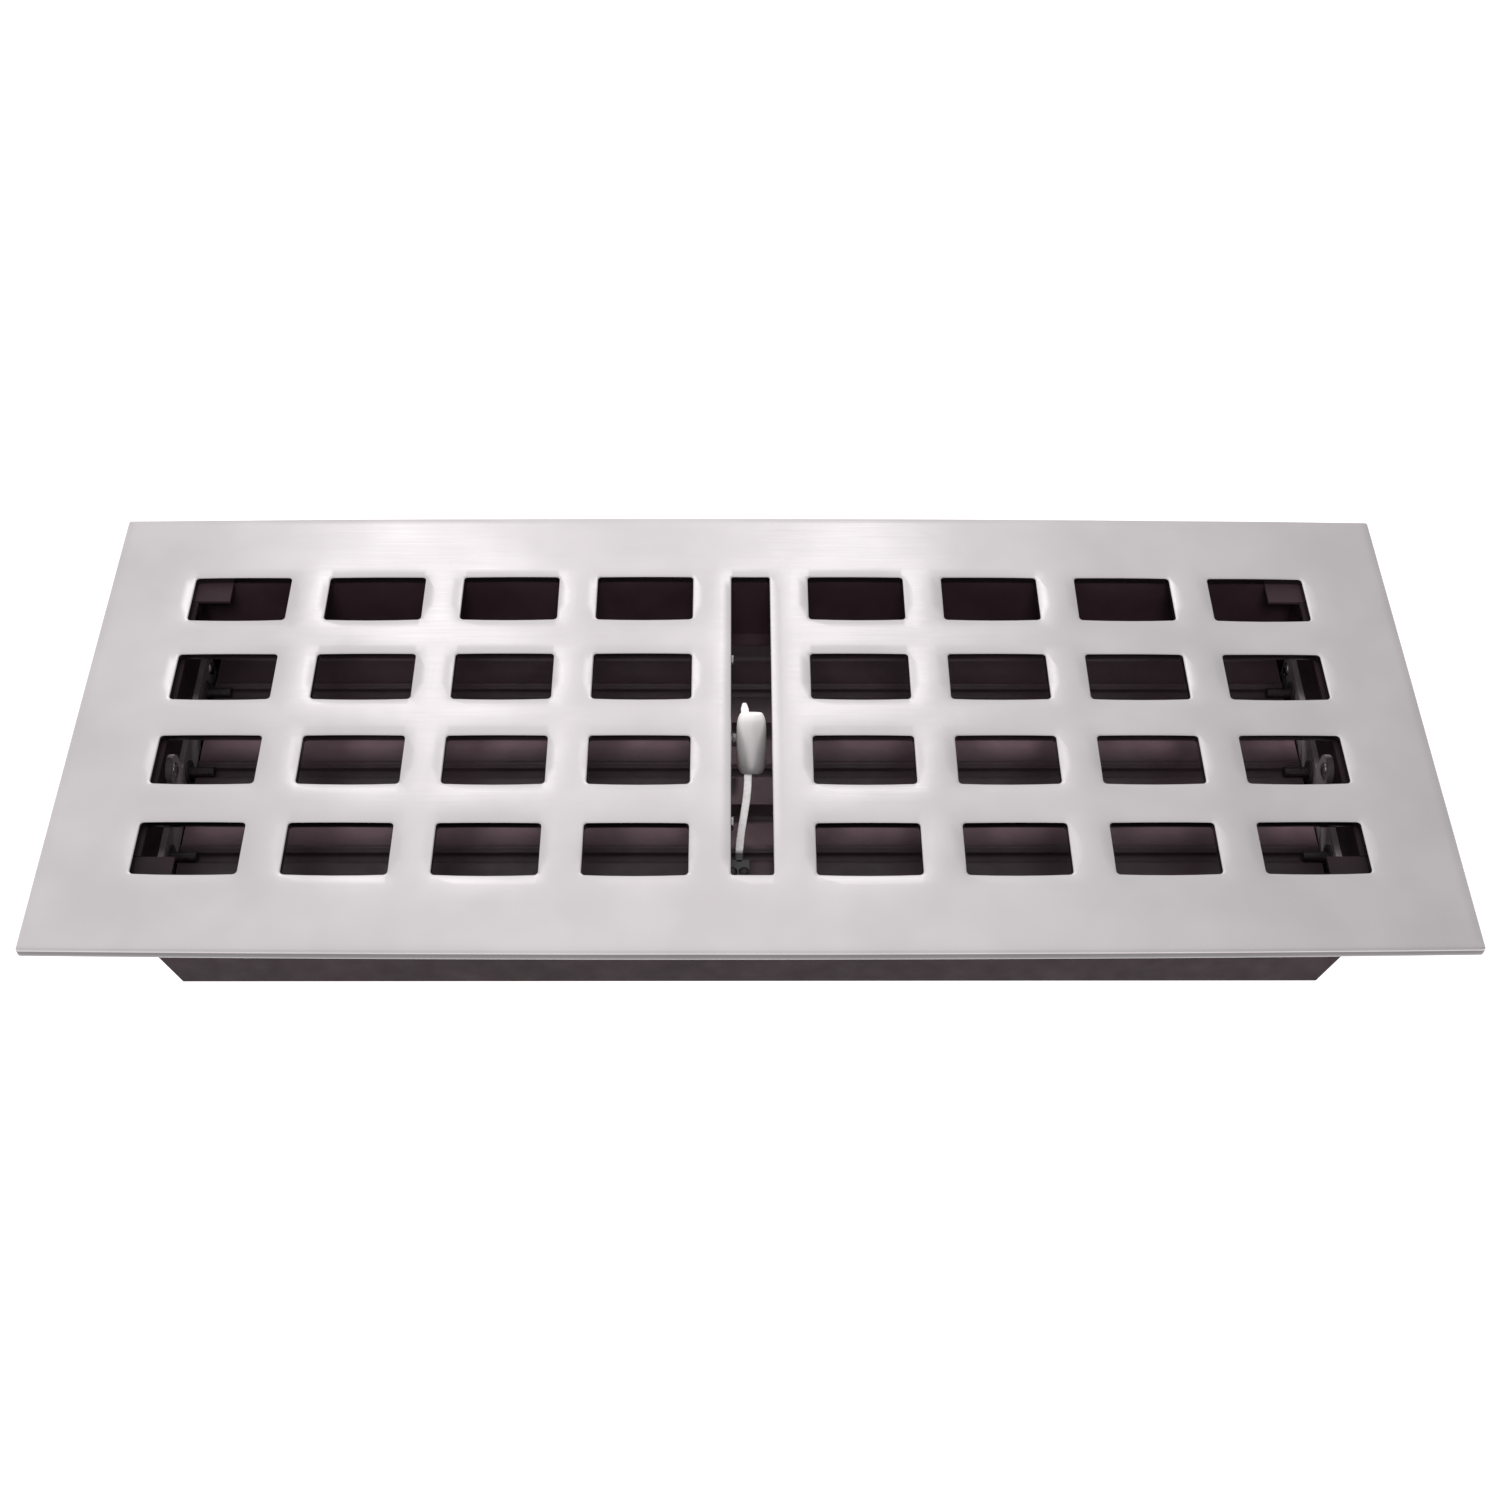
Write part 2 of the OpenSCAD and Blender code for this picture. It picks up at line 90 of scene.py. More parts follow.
GRID_Y = 5 * MM
COLUMNS = [side * (FIRST_X + HOLE_W / 2 + i * PITCH_X) for side in (-1, 1) for i in range(4)]
ROWS = [(i - 1.5) * PITCH_Y for i in range(4)]

# Blades
AXIS_Z = 24 * MM
AXIS_Y = {"front": -26.5 * MM, "middle": 0.5 * MM, "rear": 27.5 * MM}
BLADE_T = 0.8 * MM
BLADE_HALF = 146.5 * MM
CRANK_Y = 5 * MM
CRANK_Z = 8 * MM
TAB_X = -6 * MM
TAB_R = 2.6 * MM
NOTCH_X = -10.2 * MM

# Lever
LEAN = math.radians(43)
LEVER_LEN = 37 * MM
LEVER_TIP = 2.5 * MM
LEVER_T = 1.2 * MM
LEVER_W = 2.0 * MM
BEND_Y = 0.4 * MM
KNOB_LEN = 15.6 * MM
KNOB_R = 3.8 * MM
FOOT_X = -3.4 * MM
FOOT_Y = -5.2 * MM
NECK_X = -3.1 * MM

# View
LENS = 45.293
VIEW_TURN = -0.833
VIEW_DROP = 52.865
VIEW_ROLL = 0.677
VIEW_AT = (-0.00458, -0.29691, TOP + 0.37774)

# Box and rivets
SHEET_T = 0.8 * MM
BOX_HALF_W = 151 * MM
BOX_HALF_D = 49 * MM
EAR_Y = 44.45 * MM
SHANK_R = 1.4 * MM


# ---------------------------------------------------------------- materials
def srgb(code):
    """Linear colour of an sRGB hex code."""
    parts = [int(code[i:i + 2], 16) / 255 for i in (1, 3, 5)]
    return [p / 12.92 if p <= 0.04045 else ((p + 0.055) / 1.055) ** 2.4 for p in parts] + [1.0]


def add(tree, kind, settings=None, values=None, links=None):
    """Adds one node with its settings, socket values and incoming links."""
    new = tree.nodes.new(kind)
    for key, value in (settings or {}).items():
        setattr(new, key, value)
    for key, value in (values or {}).items():
        new.inputs[key].default_value = value
    for key, source in (links or {}).items():
        tree.links.new(source, new.inputs[key])
    return new


def start(name, metallic=0.0, ior=None):
    """A material with its shader; gives the material, its tree, the shader and object coordinates."""
    made = bpy.data.materials.new(name)
    made.use_nodes = True
    tree = made.node_tree
    shader = tree.nodes["Principled BSDF"]
    shader.inputs["Metallic"].default_value = metallic
    if ior:
        shader.inputs["IOR"].default_value = ior
    place = add(tree, "ShaderNodeTexCoord").outputs["Object"]
    return made, tree, shader, place


def grain(tree, place, size_mm, detail=3.0, stretch=(1, 1, 1)):
    """Noise whose blobs are size_mm across, drawn out along an axis by stretch."""
    scale = [1 / (size_mm * MM * s) for s in stretch]
    mapped = add(tree, "ShaderNodeMapping", values={"Scale": scale}, links={"Vector": place})
    return add(tree, "ShaderNodeTexNoise", values={"Scale": 1.0, "Detail": detail},
               links={"Vector": mapped.outputs["Vector"]}).outputs["Fac"]


def shades(tree, factor, stops):
    """Colour ramp through (position, hex) stops."""
    ramp = add(tree, "ShaderNodeValToRGB", links={"Fac": factor})
    bars = ramp.color_ramp.elements
    while len(bars) < len(stops):
        bars.new(0.5)
    for bar, (position, code) in zip(bars, stops):
        bar.position = position
        bar.color = srgb(code)
    return ramp.outputs["Color"]


def fade(tree, value, start_at, end_at, low, high):
    """Clamped ramp from low to high between two values."""
    return add(tree, "ShaderNodeMapRange",
               values={"From Min": start_at, "From Max": end_at, "To Min": low, "To Max": high},
               links={"Value": value}).outputs["Result"]


def spread(tree, factor, low, high):
    """Carries a 0.3 to 0.7 noise value to low..high."""
    return fade(tree, factor, 0.3, 0.7, low, high)


def bump(tree, height, depth_mm, strength=1.0, under=None):
    """Normal from a height, over another normal if one is given."""
    links = {"Height": height}
    if under:
        links["Normal"] = under
    return add(tree, "ShaderNodeBump", values={"Strength": strength, "Distance": depth_mm * MM},
               links=links).outputs["Normal"]


def satin_nickel(name, low, high, rough, brush_along, wave_mm, side_shade_tone, metallic=1.0):
    """Nickel plate brushed to satin over a casting: pinkish grey, a soft stretched sheen,
    brush lines that follow the long way and a slow unevenness left by the casting. Upright faces
    get painted shade: their base colour is darkened to side_shade_tone."""
    made, tree, shader, place = start(name, metallic)
    # brush lines are 0.1 mm on the real plate and are drawn 0.35 mm apart so that they show
    lines = grain(tree, place, 0.35, 4.0, brush_along)
    cloud = grain(tree, place, 22, 2.0)
    tone = add(tree, "ShaderNodeMix", {"data_type": "FLOAT"}, {"Factor": 0.12},
               {"A": cloud, "B": lines}).outputs["Result"]
    upright = add(tree, "ShaderNodeMath", {"operation": "ABSOLUTE"})
    facing = add(tree, "ShaderNodeSeparateXYZ",
                 links={"Vector": add(tree, "ShaderNodeTexCoord").outputs["Normal"]})
    tree.links.new(facing.outputs["Z"], upright.inputs[0])
    # the sides of a cast piece are not brushed; here their base colour is darkened as painted shade,
    # down to side_shade_tone on upright faces
    dull = fade(tree, upright.outputs["Value"], 0.1, 0.45, side_shade_tone, 1.0)
    brushed = shades(tree, tone, [(0.36, low), (0.64, high)])
    tree.links.new(add(tree, "ShaderNodeVectorMath", {"operation": "SCALE"},
                       links={"Vector": brushed, "Scale": dull}).outputs["Vector"],
                   shader.inputs["Base Color"])
    tree.links.new(spread(tree, lines, rough - 0.02, rough + 0.03), shader.inputs["Roughness"])
    casting = bump(tree, grain(tree, place, 16, 1.0), wave_mm, 0.55)
    tree.links.new(bump(tree, lines, 0.01, 0.08, casting), shader.inputs["Normal"])
    return made


def box_paint(name, dark, light, rough, ior=1.42, peel_mm=0.9):
    """Baked brown enamel on sheet steel: a low satin gloss with fine orange peel and a little dust."""
    made, tree, shader, place = start(name, ior=ior)
    cloud = grain(tree, place, 14, 4.0)
    tree.links.new(shades(tree, cloud, [(0.35, dark), (0.68, light)]), shader.inputs["Base Color"])
    tree.links.new(spread(tree, grain(tree, place, 5, 3.0), rough - 0.06, rough + 0.08),
                   shader.inputs["Roughness"])
    peel = bump(tree, grain(tree, place, peel_mm, 2.0), 0.02, 0.5)
    tree.links.new(bump(tree, grain(tree, place, 24, 1.0), 0.12, 0.4, peel), shader.inputs["Normal"])
    return made


def plated_steel(name, low, high, rough, metallic=1.0, paint_to=0):
    """Zinc-plated steel wire and rivets: bright, faintly mottled, drawn smooth. Up to the height
    paint_to it has been dipped in the blade's dark enamel."""
    made, tree, shader, place = start(name, metallic)
    mottle = grain(tree, place, 0.9, 3.0)
    tone = shades(tree, mottle, [(0.3, low), (0.7, high)])
    if paint_to:
        height = add(tree, "ShaderNodeSeparateXYZ", links={"Vector": place}).outputs["Z"]
        bare = fade(tree, height, paint_to - 0.4 * MM, paint_to + 0.4 * MM, 0.09, 1.0)
        tone = add(tree, "ShaderNodeVectorMath", {"operation": "SCALE"},
                   links={"Vector": tone, "Scale": bare}).outputs["Vector"]
    tree.links.new(tone, shader.inputs["Base Color"])
    tree.links.new(spread(tree, mottle, rough - 0.06, rough + 0.1), shader.inputs["Roughness"])
    tree.links.new(bump(tree, grain(tree, place, 0.4, 2.0), 0.01, 0.4), shader.inputs["Normal"])
    return made


def moulded_nylon():
    """Brown-black nylon bush: a dull mould finish with a faint waxy depth."""
    made, tree, shader, place = start("moulded_brown_nylon", ior=1.53)
    tree.links.new(shades(tree, grain(tree, place, 2.5), [(0.3, "#3a3336"), (0.7, "#4a4246")]),
                   shader.inputs["Base Color"])
    tree.links.new(spread(tree, grain(tree, place, 0.6), 0.42, 0.55), shader.inputs["Roughness"])
    tree.links.new(bump(tree, grain(tree, place, 0.3, 2.0), 0.01, 0.4), shader.inputs["Normal"])
    shader.inputs["Subsurface Weight"].default_value = 0.15
    shader.inputs["Subsurface Radius"].default_value = (0.001, 0.0008, 0.0005)
    return made


# the 0.26 darkens the faceplate's upright sides to 0.26 of its colour: painted shade
PLATE = satin_nickel("satin_nickel_plate", "#cbc7c9", "#d2ced0", 0.22, (60, 1, 1), 0.11, 0.26)
KNOB = satin_nickel("lacquered_nickel_knob", "#d6d2d3", "#e2dfdf", 0.38, (1, 8, 8), 0.02, 1.0, 0.3)
BOX = box_paint("brown_enamel_box", "#291d21", "#32252a", 0.6, 1.3)
BLADE = box_paint("brown_enamel_blade", "#44363b", "#524248", 0.38)
# a lighter copy of the box's brown enamel: painted light standing in for the lit band along each end
# wall; the link bar shares it
RAIL = box_paint("brown_enamel_rail_painted_light", "#72686c", "#8a8084", 0.5)
ZINC = plated_steel("zinc_plated_steel", "#b9b6b5", "#d8d5d3", 0.26)
LEVER = plated_steel("galvanised_lever_steel", "#d6d2d2", "#e8e5e5", 0.5, 0.2, AXIS_Z + 1.8 * MM)
DULL_ZINC = plated_steel("dull_zinc_pins", "#4f4a4c", "#625c5f", 0.5)
SPRING = plated_steel("black_spring_steel", "#3f3d3e", "#5c5a5b", 0.38)
NYLON = moulded_nylon()


# ---------------------------------------------------------------- making pieces
def piece(name, bm, material, body, node=None, smooth_deg=40):
    """Turns a bmesh into a piece that rides on a body, and stands for a CAD node if one is named."""
    mesh = bpy.data.meshes.new(name)
    bm.to_mesh(mesh)
    bm.free()
    made = bpy.data.objects.new(name, mesh)
    bpy.context.scene.collection.objects.link(made)
    mesh.materials.append(material)
    mesh.shade_smooth()
    mesh.set_sharp_from_angle(angle=math.radians(smooth_deg))
    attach(made, body)
    if node:
        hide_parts(node)
    return made


def bevel(bm, edges, width, segments=3):
    """Rounds edges by an offset of width."""
    return bmesh.ops.bevel(bm, geom=edges, offset=width, offset_type="OFFSET", segments=segments,
                           profile=0.5, affect="EDGES", material=-1, clamp_overlap=True)


def lathe(bm, outline, place, segments=40):
    """Turns an outline of (radius, height) points round Z and moves the result by a matrix."""
    points = [bm.verts.new((r, 0, h)) for r, h in outline]
    edges = [bm.edges.new(pair) for pair in zip(points, points[1:])]
    bmesh.ops.spin(bm, geom=points + edges, cent=(0, 0, 0), axis=(0, 0, 1), dvec=(0, 0, 0),
                   angle=math.tau, steps=segments, use_merge=True, use_duplicate=False)
    made = [v for v in bm.verts if not v.tag]
    bmesh.ops.remove_doubles(bm, verts=made, dist=1e-7)
    made = [v for v in bm.verts if not v.tag]
    bmesh.ops.transform(bm, matrix=place, verts=made)
    for v in made:
        v.tag = True


def arc(centre_r, centre_h, radius, start_deg, end_deg, count=5):
    """Points of an arc in an outline of (radius, height)."""
    turns = [math.radians(start_deg + (end_deg - start_deg) * i / count) for i in range(count + 1)]
    return [(centre_r + radius * math.cos(t), centre_h + radius * math.sin(t)) for t in turns]


def outward(bm):
    """Turns every face normal outward."""
    bmesh.ops.recalc_face_normals(bm, faces=bm.faces[:])


def even(stops, step):
    """Sorted stops with even steps no longer than step between them."""
    stops = sorted(set(round(s, 7) for s in stops))
    out = [stops[0]]
    for a, b in zip(stops, stops[1:]):
        count = max(1, math.ceil((b - a) / step - 1e-6))
        out += [a + (b - a) * i / count for i in range(1, count + 1)]
    return out


# ---------------------------------------------------------------- faceplate
def plate_lines(half, spans, support, step):
    """Grid lines along one way of the plate: its rim, each opening's edges and lines beside them."""
    stops = [-half, half, -half + 2.6 * MM, half - 2.6 * MM]
    stops += [side * (half - RIM_W - extra) for side in (-1, 1) for extra in (0, 1.2 * MM)]
    for low, high in spans:
        stops += [low - support, low, high, high + support]
    return even(stops, step)


def in_hole(x, y):
    """Whether a point lies in the slot or in an air hole."""
    if abs(x) < SLOT_HALF_W and abs(y) < SLOT_HALF_D:
        return True
    return any(abs(x - c) < HOLE_W / 2 for c in COLUMNS) and any(abs(y - r) < HOLE_D / 2 for r in ROWS)


def to_hole(x, y):
    """Distance from a point of the faceplate to the nearest edge of a hole or the slot."""
    gaps = [math.hypot(max(0, abs(x) - SLOT_HALF_W), max(0, abs(y) - SLOT_HALF_D))]
    gaps += [math.hypot(max(0, abs(x - c) - HOLE_W / 2), max(0, abs(y - r) - HOLE_D / 2))
             for c in COLUMNS for r in ROWS]
    return min(gaps)


def faceplate():
    """Cast plate: pillowed edges round every hole, slightly bowed long edges, shallow hollow beneath."""
    x_spans = [(c - HOLE_W / 2, c + HOLE_W / 2) for c in COLUMNS] + [(-SLOT_HALF_W, SLOT_HALF_W)]
    y_spans = [(r - HOLE_D / 2, r + HOLE_D / 2) for r in ROWS]
    xs = plate_lines(HALF_W, x_spans, PILLOW_W, GRID_X)
    ys = plate_lines(HALF_D, y_spans, PILLOW_W, GRID_Y)
    bm = bmesh.new()
    bmesh.ops.create_grid(bm, x_segments=len(xs) - 1, y_segments=len(ys) - 1, size=1)
    for v in bm.verts:
        i = round((v.co.x + 1) / 2 * (len(xs) - 1))
        j = round((v.co.y + 1) / 2 * (len(ys) - 1))
        v.co = (xs[i], ys[j], TOP)
    gone = [f for f in bm.faces if in_hole(f.calc_center_median().x, f.calc_center_median().y)]
    bmesh.ops.delete(bm, geom=gone, context="FACES")
    below = bmesh.ops.extrude_face_region(bm, geom=bm.faces[:], use_keep_orig=True)
    for v in [g for g in below["geom"] if isinstance(g, bmesh.types.BMVert)]:
        inside = abs(v.co.x) < HALF_W - RIM_W - 0.1 * MM and abs(v.co.y) < HALF_D - RIM_W - 0.1 * MM
        v.co.z -= RIM_T - (HOLLOW if inside else 0)
    outward(bm)

    hole_x = [x for span in x_spans for x in span]
    hole_y = [y for span in y_spans for y in span]

    def near(value, values):
        return min(abs(value - other) for other in values) < 0.01 * MM

    upright = [e for e in bm.edges if abs(e.verts[0].co.z - e.verts[1].co.z) > 1 * MM]
    corners = [e for e in upright if near(e.verts[0].co.x, hole_x) and near(e.verts[0].co.y, hole_y)
               and len({round(f.normal.x) for f in e.link_faces}) > 1]
    slot_corners = [e for e in corners if abs(e.verts[0].co.x) < SLOT_HALF_W + 0.1 * MM]
    hole_corners = [e for e in corners if e not in slot_corners]
    bevel(bm, slot_corners, SLOT_CORNER, 3)
    bevel(bm, [e for e in hole_corners if e.is_valid], HOLE_CORNER, 4)
    ends = [e for e in bm.edges if abs(e.verts[0].co.z - e.verts[1].co.z) > 1 * MM
            and near(abs(e.verts[0].co.x), [HALF_W]) and near(abs(e.verts[0].co.y), [HALF_D])]
    bevel(bm, ends, PLATE_CORNER, 4)

    def rims(level, outer):
        picked = []
        for e in bm.edges:
            if any(abs(v.co.z - level) > 0.02 * MM for v in e.verts) or len(e.link_faces) != 2:
                continue
            flat = [abs(f.normal.z) > 0.7 for f in e.link_faces]
            mid = (e.verts[0].co + e.verts[1].co) / 2
            at_edge = abs(mid.x) > HALF_W - 1.5 * MM or abs(mid.y) > HALF_D - 1.5 * MM
            if flat[0] != flat[1] and at_edge == outer:
                picked.append(e)
        return picked

    bevel(bm, rims(TOP, False), HOLE_ROLL, 5)
    bevel(bm, rims(TOP, True), RIM_ROLL, 4)
    bevel(bm, rims(TOP - RIM_T, True), UNDER_ROLL, 2)
    bevel(bm, rims(TOP - RIM_T + HOLLOW, False), HOLLOW_ROLL, 2)
    for v in bm.verts:
        x, y = v.co.x, v.co.y
        for c in COLUMNS:
            for r in ROWS:
                if abs(x - c) < HOLE_W / 2 and HOLE_D / 2 - 0.1 * MM < abs(y - r) < HOLE_D / 2 + 3 * MM:
                    swell = 0.3 if y < r else 0.12
                    v.co.y += math.copysign(swell * MM, y - r) * (1 - ((x - c) / HOLE_W * 2) ** 2)
        v.co.y *= 1 - EDGE_BOW / HALF_D * (x / HALF_W) ** 2
        if v.co.z > TOP - 2 * MM:
            sag = 0.2 * (x / HALF_W) ** 2 + 0.1 * (y / HALF_D) ** 2
            wave = 0.06 * (1 - noise.noise(Vector((x, y, 0)) / (30 * MM)))
            roll = max(0, 1 - to_hole(x, y) / PILLOW_W)
            v.co.z -= (sag + wave + PILLOW_DROP_MM * roll * roll) * MM
    piece("cast_faceplate", bm, PLATE, "housing", "faceplate", 50)


# ---------------------------------------------------------------- lever
def lever_frame():
    """Matrix that stands Z along the lever from its bend, with Y away from the blade."""
    base = Matrix.Translation((0, AXIS_Y["front"] + BEND_Y, AXIS_Z))
    return base @ Matrix.Rotation(LEAN - math.pi / 2, 4, "X")


def lever_knob():
    """Barrel-shaped knob: straight waist, drawn-in shoulders and softly rounded flat ends."""
    bm = bmesh.new()
    end_r = 0.8 * KNOB_R
    soft = 0.7 * MM
    low = arc(end_r - soft, soft, soft, -90, -20, 4)
    shares = [(0.89, 0.08), (0.95, 0.14), (0.99, 0.24), (1, 0.4), (1, 0.6), (0.99, 0.76), (0.95, 0.86),
              (0.89, 0.92)]
    waist = [(KNOB_R * w, KNOB_LEN * h) for w, h in shares]
    high = arc(end_r - soft, KNOB_LEN - soft, soft, 20, 90, 4)
    lathe(bm, [(0, 0)] + low + waist + high + [(0, KNOB_LEN)],
          lever_frame() @ Matrix.Translation((0, -LEVER_T / 2, LEVER_LEN - KNOB_LEN)), 48)
    outward(bm)
    piece("lever_barrel_knob", bm, KNOB, "front_damper", "lever_knob", 60)


def lever_strip():
    """Drawn strip that leaves its riveted foot, sways to the slot's middle and ends above the knob."""
    bm = bmesh.new()
    half_w, half_t = LEVER_W / 2, LEVER_T / 2
    bmesh.ops.create_grid(bm, x_segments=1, y_segments=1, size=1)
    bm.faces.ensure_lookup_table()
    for v in bm.verts:
        v.co = (v.co.x * half_w, v.co.y * half_t, 0)
    total = LEVER_LEN + LEVER_TIP
    stations = 26
    rise = lever_frame()

    def sway(t):
        lean_in = min(1, t / 20 / MM)
        out = max(0, (t - 22 * MM) / (18 * MM))
        return (-3.1 + 2.2 * lean_in * lean_in * (3 - 2 * lean_in) - 0.9 * out) * MM

    face = bm.faces[0]
    bmesh.ops.translate(bm, verts=bm.verts[:], vec=(sway(0), -half_t, 0))
    for i in range(stations):
        t = total * (i + 1) / stations
        made = bmesh.ops.extrude_discrete_faces(bm, faces=[face])
        face = made["faces"][0]
        step = Vector((sway(t) - sway(total * i / stations), 0, total / stations))
        bmesh.ops.translate(bm, verts=face.verts[:], vec=step)
    bmesh.ops.scale(bm, vec=(0.5, 0.6, 1), space=Matrix.Translation(-face.calc_center_median()),
                    verts=face.verts[:])
    bmesh.ops.transform(bm, matrix=rise, verts=bm.verts[:])
    foot = bmesh.ops.create_cube(bm, size=1)["verts"]
    front = AXIS_Y["front"]
    bmesh.ops.scale(bm, vec=(6 * MM, 7.6 * MM, LEVER_T), verts=foot)
    bmesh.ops.translate(bm, verts=foot, vec=(FOOT_X, front + FOOT_Y, AXIS_Z + half_t))
    neck = bmesh.ops.create_cube(bm, size=1)["verts"]
    bmesh.ops.scale(bm, vec=(LEVER_W, 3 * MM, LEVER_T), verts=neck)
    bmesh.ops.translate(bm, verts=neck, vec=(NECK_X, front - 0.9 * MM, AXIS_Z + half_t))
    outward(bm)
    sharp = [e for e in bm.edges if len(e.link_faces) == 2 and e.calc_face_angle() > 0.7]
    bevel(bm, sharp, 0.28 * MM, 2)
    piece("lever_bent_strip", bm, LEVER, "front_damper", "lever_strip", 50)


# ---------------------------------------------------------------- rivets and the spring
def domed_head(bm, place, radius, height):
    """Closed dome whose flat side is at the matrix's origin."""
    lathe(bm, [(0, height), (radius * 0.45, height * 0.92), (radius * 0.78, height * 0.62),
               (radius * 0.96, height * 0.2), (radius, 0), (0, 0)], place, 28)


def rivet(bm, at, along, grip, radius=2.4 * MM, height=0.68 * MM):
    """Dome on the outside, a smaller upset tail inside, and the shank between them."""
    turn = Vector(along).to_track_quat("Z", "X").to_matrix().to_4x4()
    base = Matrix.Translation(at) @ turn
    domed_head(bm, base @ Matrix.Rotation(math.pi, 4, "X"), radius, height)
    domed_head(bm, base @ Matrix.Translation((0, 0, grip)), radius * 0.84, height)
    lathe(bm, [(0, 0), (SHANK_R, 0), (SHANK_R, grip), (0, grip)], base, 20)


def rivet_set(name, node, material, slot, places, body="housing", **size):
    """All rivets of one kind as one piece."""
    bm = bmesh.new()
    for at, along, grip in places:
        rivet(bm, at, along, grip, **size)
    outward(bm)
    piece(name, bm, material, body, node)


def all_rivets():
    """Rivets of the box corners, the pivot rails, the stop strips and the lever's foot."""
    sides = (-1, 1)
    rivet_set("corner_rivet_set", "corner_rivets", BOX, "box_paint",
              [((sx * BOX_HALF_W, sy * EAR_Y, z * MM), (-sx, 0, 0), 2 * SHEET_T)
               for sx in sides for sy in sides for z in (20, 40)])
    rail = [(-6 * MM, AXIS_Z + 10 * MM), (-36 * MM, AXIS_Z), (36 * MM, AXIS_Z)]
    rivet_set("rail_rivet_set", "rail_rivets", ZINC, "plated_steel",
              [((sx * BOX_HALF_W, y, z), (-sx, 0, 0), 2.3 * MM) for sx in sides for y, z in rail])
    rivet_set("stop_rivet_set", "stop_rivets", BOX, "box_paint",
              [((x * MM, sy * BOX_HALF_D, AXIS_Z - 4 * MM), (0, -sy, 0), 2 * SHEET_T)
               for sy in sides for x in (-110, 0, 110)])
    rivet_set("lever_rivet_set", "lever_rivets", DULL_ZINC, "dull_steel",
              [((x * MM, AXIS_Y["front"] + FOOT_Y, AXIS_Z - BLADE_T), (0, 0, 1), BLADE_T + LEVER_T)
               for x in (-4.95, -1.85)], body="front_damper", radius=1.5 * MM, height=0.5 * MM)


def link_spring():
    """Short coil under the middle pin's head, with closed flat turns."""
    bm = bmesh.new()
    wire, coil, turns, length = 0.26 * MM, 1.75 * MM, 3.5, 1.25 * MM
    ring = bmesh.ops.create_circle(bm, segments=10, radius=wire)["verts"]
    tip = Matrix.Translation((coil, 0, 0)) @ Matrix.Rotation(math.pi / 2, 4, "X")
    bmesh.ops.transform(bm, matrix=tip, verts=ring)
    steps = round(turns * 28)
    bmesh.ops.contextual_create(bm, geom=bm.edges[:])
    bmesh.ops.spin(bm, geom=bm.faces[:] + bm.edges[:] + bm.verts[:], cent=(0, 0, 0), axis=(0, 0, 1),
                   dvec=(0, 0, length / steps), angle=math.tau * turns, steps=steps,
                   use_duplicate=False, use_merge=False)
    at = Vector((-5.2 * MM + wire + 0.02 * MM, AXIS_Y["middle"] + CRANK_Y, AXIS_Z + CRANK_Z))
    bmesh.ops.transform(bm, matrix=Matrix.Translation(at) @ Matrix.Rotation(math.pi / 2, 4, "Y"),
                        verts=bm.verts[:])
    outward(bm)
    piece("link_coil_spring", bm, ZINC, "middle_damper", "link_spring", 60)


# ---------------------------------------------------------------- blades
def blade_outline():
    """Upper face of a blade from front to rear, as (y, z) from the axis: flat, half-round
    channel, flat, bead, flat, rounded bend and raised lip."""
    points = [(-13.4, 0), (-9, 0), (-5, 0), (-2.2, 0), (-1.75, -0.06)]
    points += arc(0, -0.1, 1.5, 180, 360, 12)
    points += [(1.72, -0.03), (1.95, 0.12), (2.3, 0.42), (2.8, 0.52), (3.3, 0.42), (3.7, 0.1), (4, 0)]
    points += [(7.5, 0), (11.3, 0)]
    points += [(11.2 + r, h + 1.7) for r, h in arc(0.1, 0, 1.7, -90, -37, 5)]
    points += [(14.45, 3.15)]
    return [(y * MM, z * MM) for y, z in points]


def blade(which):
    """Roll-formed sheet with its notch and the crank tab that stands beside it."""
    bm = bmesh.new()
    outline = blade_outline()
    y0 = AXIS_Y[which]
    xs = even([-BLADE_HALF, BLADE_HALF, NOTCH_X, TAB_X], 14 * MM)
    line = [bm.verts.new((xs[0], y0 + y, AXIS_Z + z)) for y, z in outline]
    edges = [bm.edges.new(pair) for pair in zip(line, line[1:])]
    for a, b in zip(xs, xs[1:]):
        made = bmesh.ops.extrude_edge_only(bm, edges=edges)
        verts = [g for g in made["geom"] if isinstance(g, bmesh.types.BMVert)]
        edges = [g for g in made["geom"] if isinstance(g, bmesh.types.BMEdge)]
        bmesh.ops.translate(bm, verts=verts, vec=(b - a, 0, 0))
    notch = [f for f in bm.faces if NOTCH_X < f.calc_center_median().x < TAB_X
             and f.calc_center_median().y > y0 + 4 * MM]
    bmesh.ops.delete(bm, geom=notch, context="FACES")
    outward(bm)
    if sum(f.normal.z for f in bm.faces) < 0:
        bmesh.ops.reverse_faces(bm, faces=bm.faces[:])
    bmesh.ops.solidify(bm, geom=bm.faces[:], thickness=BLADE_T)
    over = max(v.co.z for v in bm.verts) - AXIS_Z
    if over > 3.5 * MM:
        bmesh.ops.translate(bm, verts=bm.verts[:], vec=(0, 0, -BLADE_T))
    crank_tab(bm, y0)
    outward(bm)
    piece(which + "_blade_sheet", bm, BLADE, which + "_damper", which + "_blade", 35)


